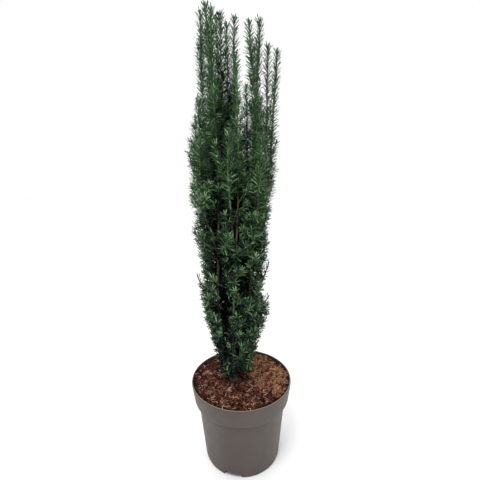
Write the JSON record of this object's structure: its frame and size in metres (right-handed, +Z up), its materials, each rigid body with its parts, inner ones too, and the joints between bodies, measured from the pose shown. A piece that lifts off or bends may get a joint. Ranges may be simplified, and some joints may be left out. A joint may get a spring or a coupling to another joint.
{
  "type": "potted english yew",
  "caption": "Narrow upright conifer with many steep leaders and flat dark green needles, in a round tapered nursery pot filled with bark mulch.",
  "frame": {"origin": "centre of the pot's foot ring, on the surface that the pot stands on", "axes": "+Z up, +X to the right of the plant's front, +Y from the front to the back"},
  "size_m": [0.28, 0.28, 1.1811],
  "materials": {
    "pot_plastic": "matte taupe grey, moulded",
    "mulch": "loose reddish brown bark and coir fibre",
    "bark": "thin grey-brown bark, slightly flaky",
    "needles": "dark green, waxy, semi-matte"
  },
  "bodies": {
    "root": {"pot": "pot_plastic", "soil": "mulch", "trunk": "bark", "bough_left": "bark", "bough_front_left": "bark", "bough_front": "bark", "bough_front_right": "bark", "bough_right": "bark", "bough_back_right": "bark", "bough_back": "bark", "bough_back_left": "bark", "spire_centre": "needles", "spire_left": "needles", "spire_front_left": "needles", "spire_front": "needles", "spire_front_right": "needles", "spire_right": "needles", "spire_back_right": "needles", "spire_back": "needles", "spire_back_left": "needles", "spray_01": "needles", "spray_02": "needles", "spray_03": "needles", "spray_04": "needles", "spray_05": "needles", "spray_06": "needles", "spray_07": "needles", "spray_08": "needles", "spray_09": "needles", "spray_10": "needles", "spray_11": "needles", "spray_12": "needles", "spray_13": "needles", "spray_14": "needles", "spray_15": "needles", "spray_16": "needles", "spray_17": "needles", "spray_18": "needles", "spray_19": "needles", "spray_20": "needles", "spray_21": "needles", "spray_22": "needles"}
  },
  "joints": []
}
